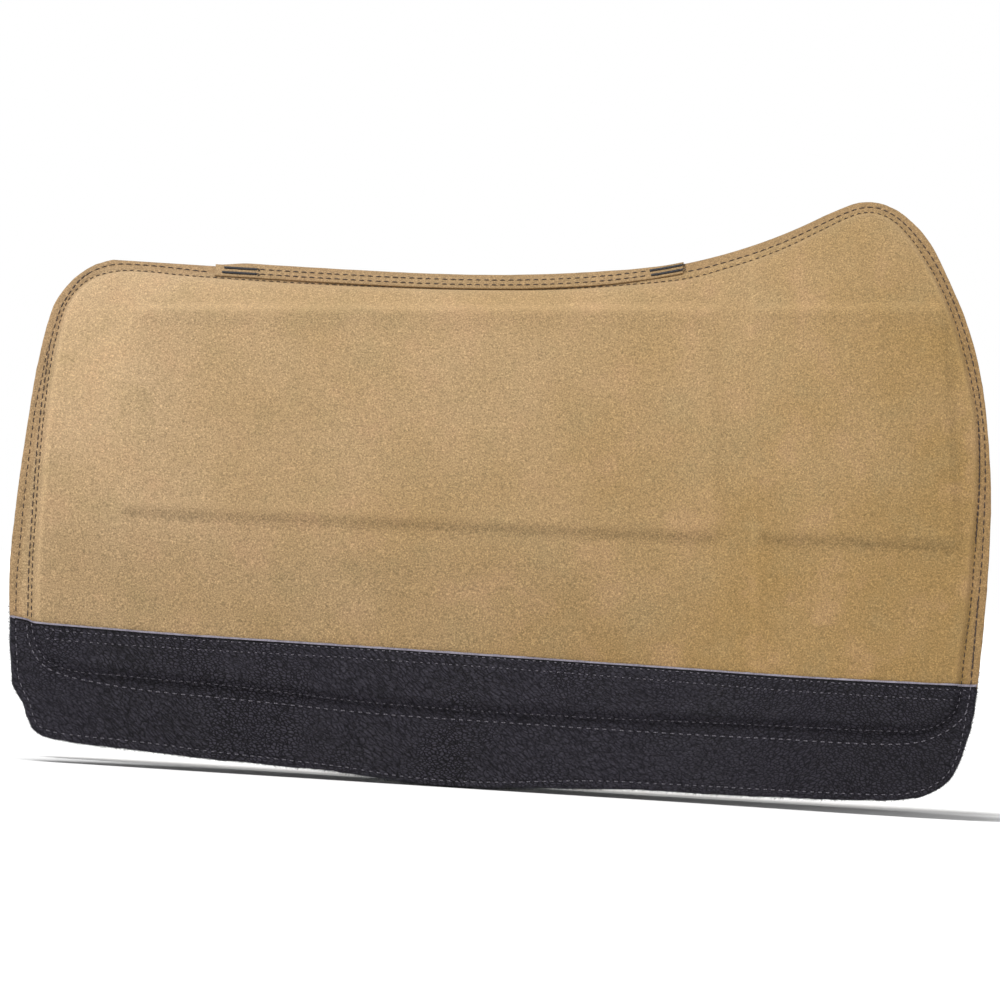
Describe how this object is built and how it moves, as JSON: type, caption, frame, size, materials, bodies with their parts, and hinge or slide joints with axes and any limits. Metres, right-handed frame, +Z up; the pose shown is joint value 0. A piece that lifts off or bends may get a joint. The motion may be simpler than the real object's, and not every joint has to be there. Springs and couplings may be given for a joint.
{
  "type": "saddle pad",
  "caption": "Contoured western saddle pad: felt-lined halves with tan canvas, foam padding and leather wear bands, joined along the spine by a sewn strip.",
  "frame": {"origin": "midway between the two halves, on the surface that the two lower edges stand on, under the middle of the pad's length", "axes": "+X forwards along the spine to the withers, +Z up, +Y to the near side (the horse's left); the off side is at -Y"},
  "size_m": [0.762, 0.2722, 0.478],
  "materials": {
    "canvas": "plain-woven tan cotton canvas with a dry, slightly slubby surface",
    "felt": "thick charcoal wool felt with a fuzzy surface and cut edges",
    "leather": "near-black brown pebbled leather, creased, with a satin sheen and a raw grey cut edge",
    "foam": "closed-cell foam, cream, finely pored",
    "shim_foam": "firm closed-cell foam, grey",
    "thread": "bonded dark brown sewing thread with a waxed sheen"
  },
  "bodies": {
    "off_side": {"spine_strip": "canvas", "off_felt_liner": "felt", "off_rear_core": "foam", "off_front_core": "foam", "off_rear_shim": "shim_foam", "off_front_shim": "shim_foam", "off_canvas_cover": "canvas", "off_wear_leather": "leather", "off_outer_seam": "thread", "off_inner_seam": "thread", "off_hem_seam": "thread", "off_leather_seams": "thread", "off_spine_seams": "thread", "off_bartacks": "thread"},
    "near_side": {"near_felt_liner": "felt", "near_rear_core": "foam", "near_front_core": "foam", "near_rear_shim": "shim_foam", "near_front_shim": "shim_foam", "near_canvas_cover": "canvas", "near_wear_leather": "leather", "near_outer_seam": "thread", "near_inner_seam": "thread", "near_hem_seam": "thread", "near_leather_seams": "thread", "near_spine_seams": "thread", "near_bartacks": "thread"}
  },
  "joints": [
    {"name": "spine_fold", "type": "hinge", "parent": "off_side", "child": "near_side", "pos_m": [0, 0, 0.408], "axis": [0.998, 0, 0.0635], "range_deg": [-20, 58], "deforming": ["spine_strip"]}
  ]
}
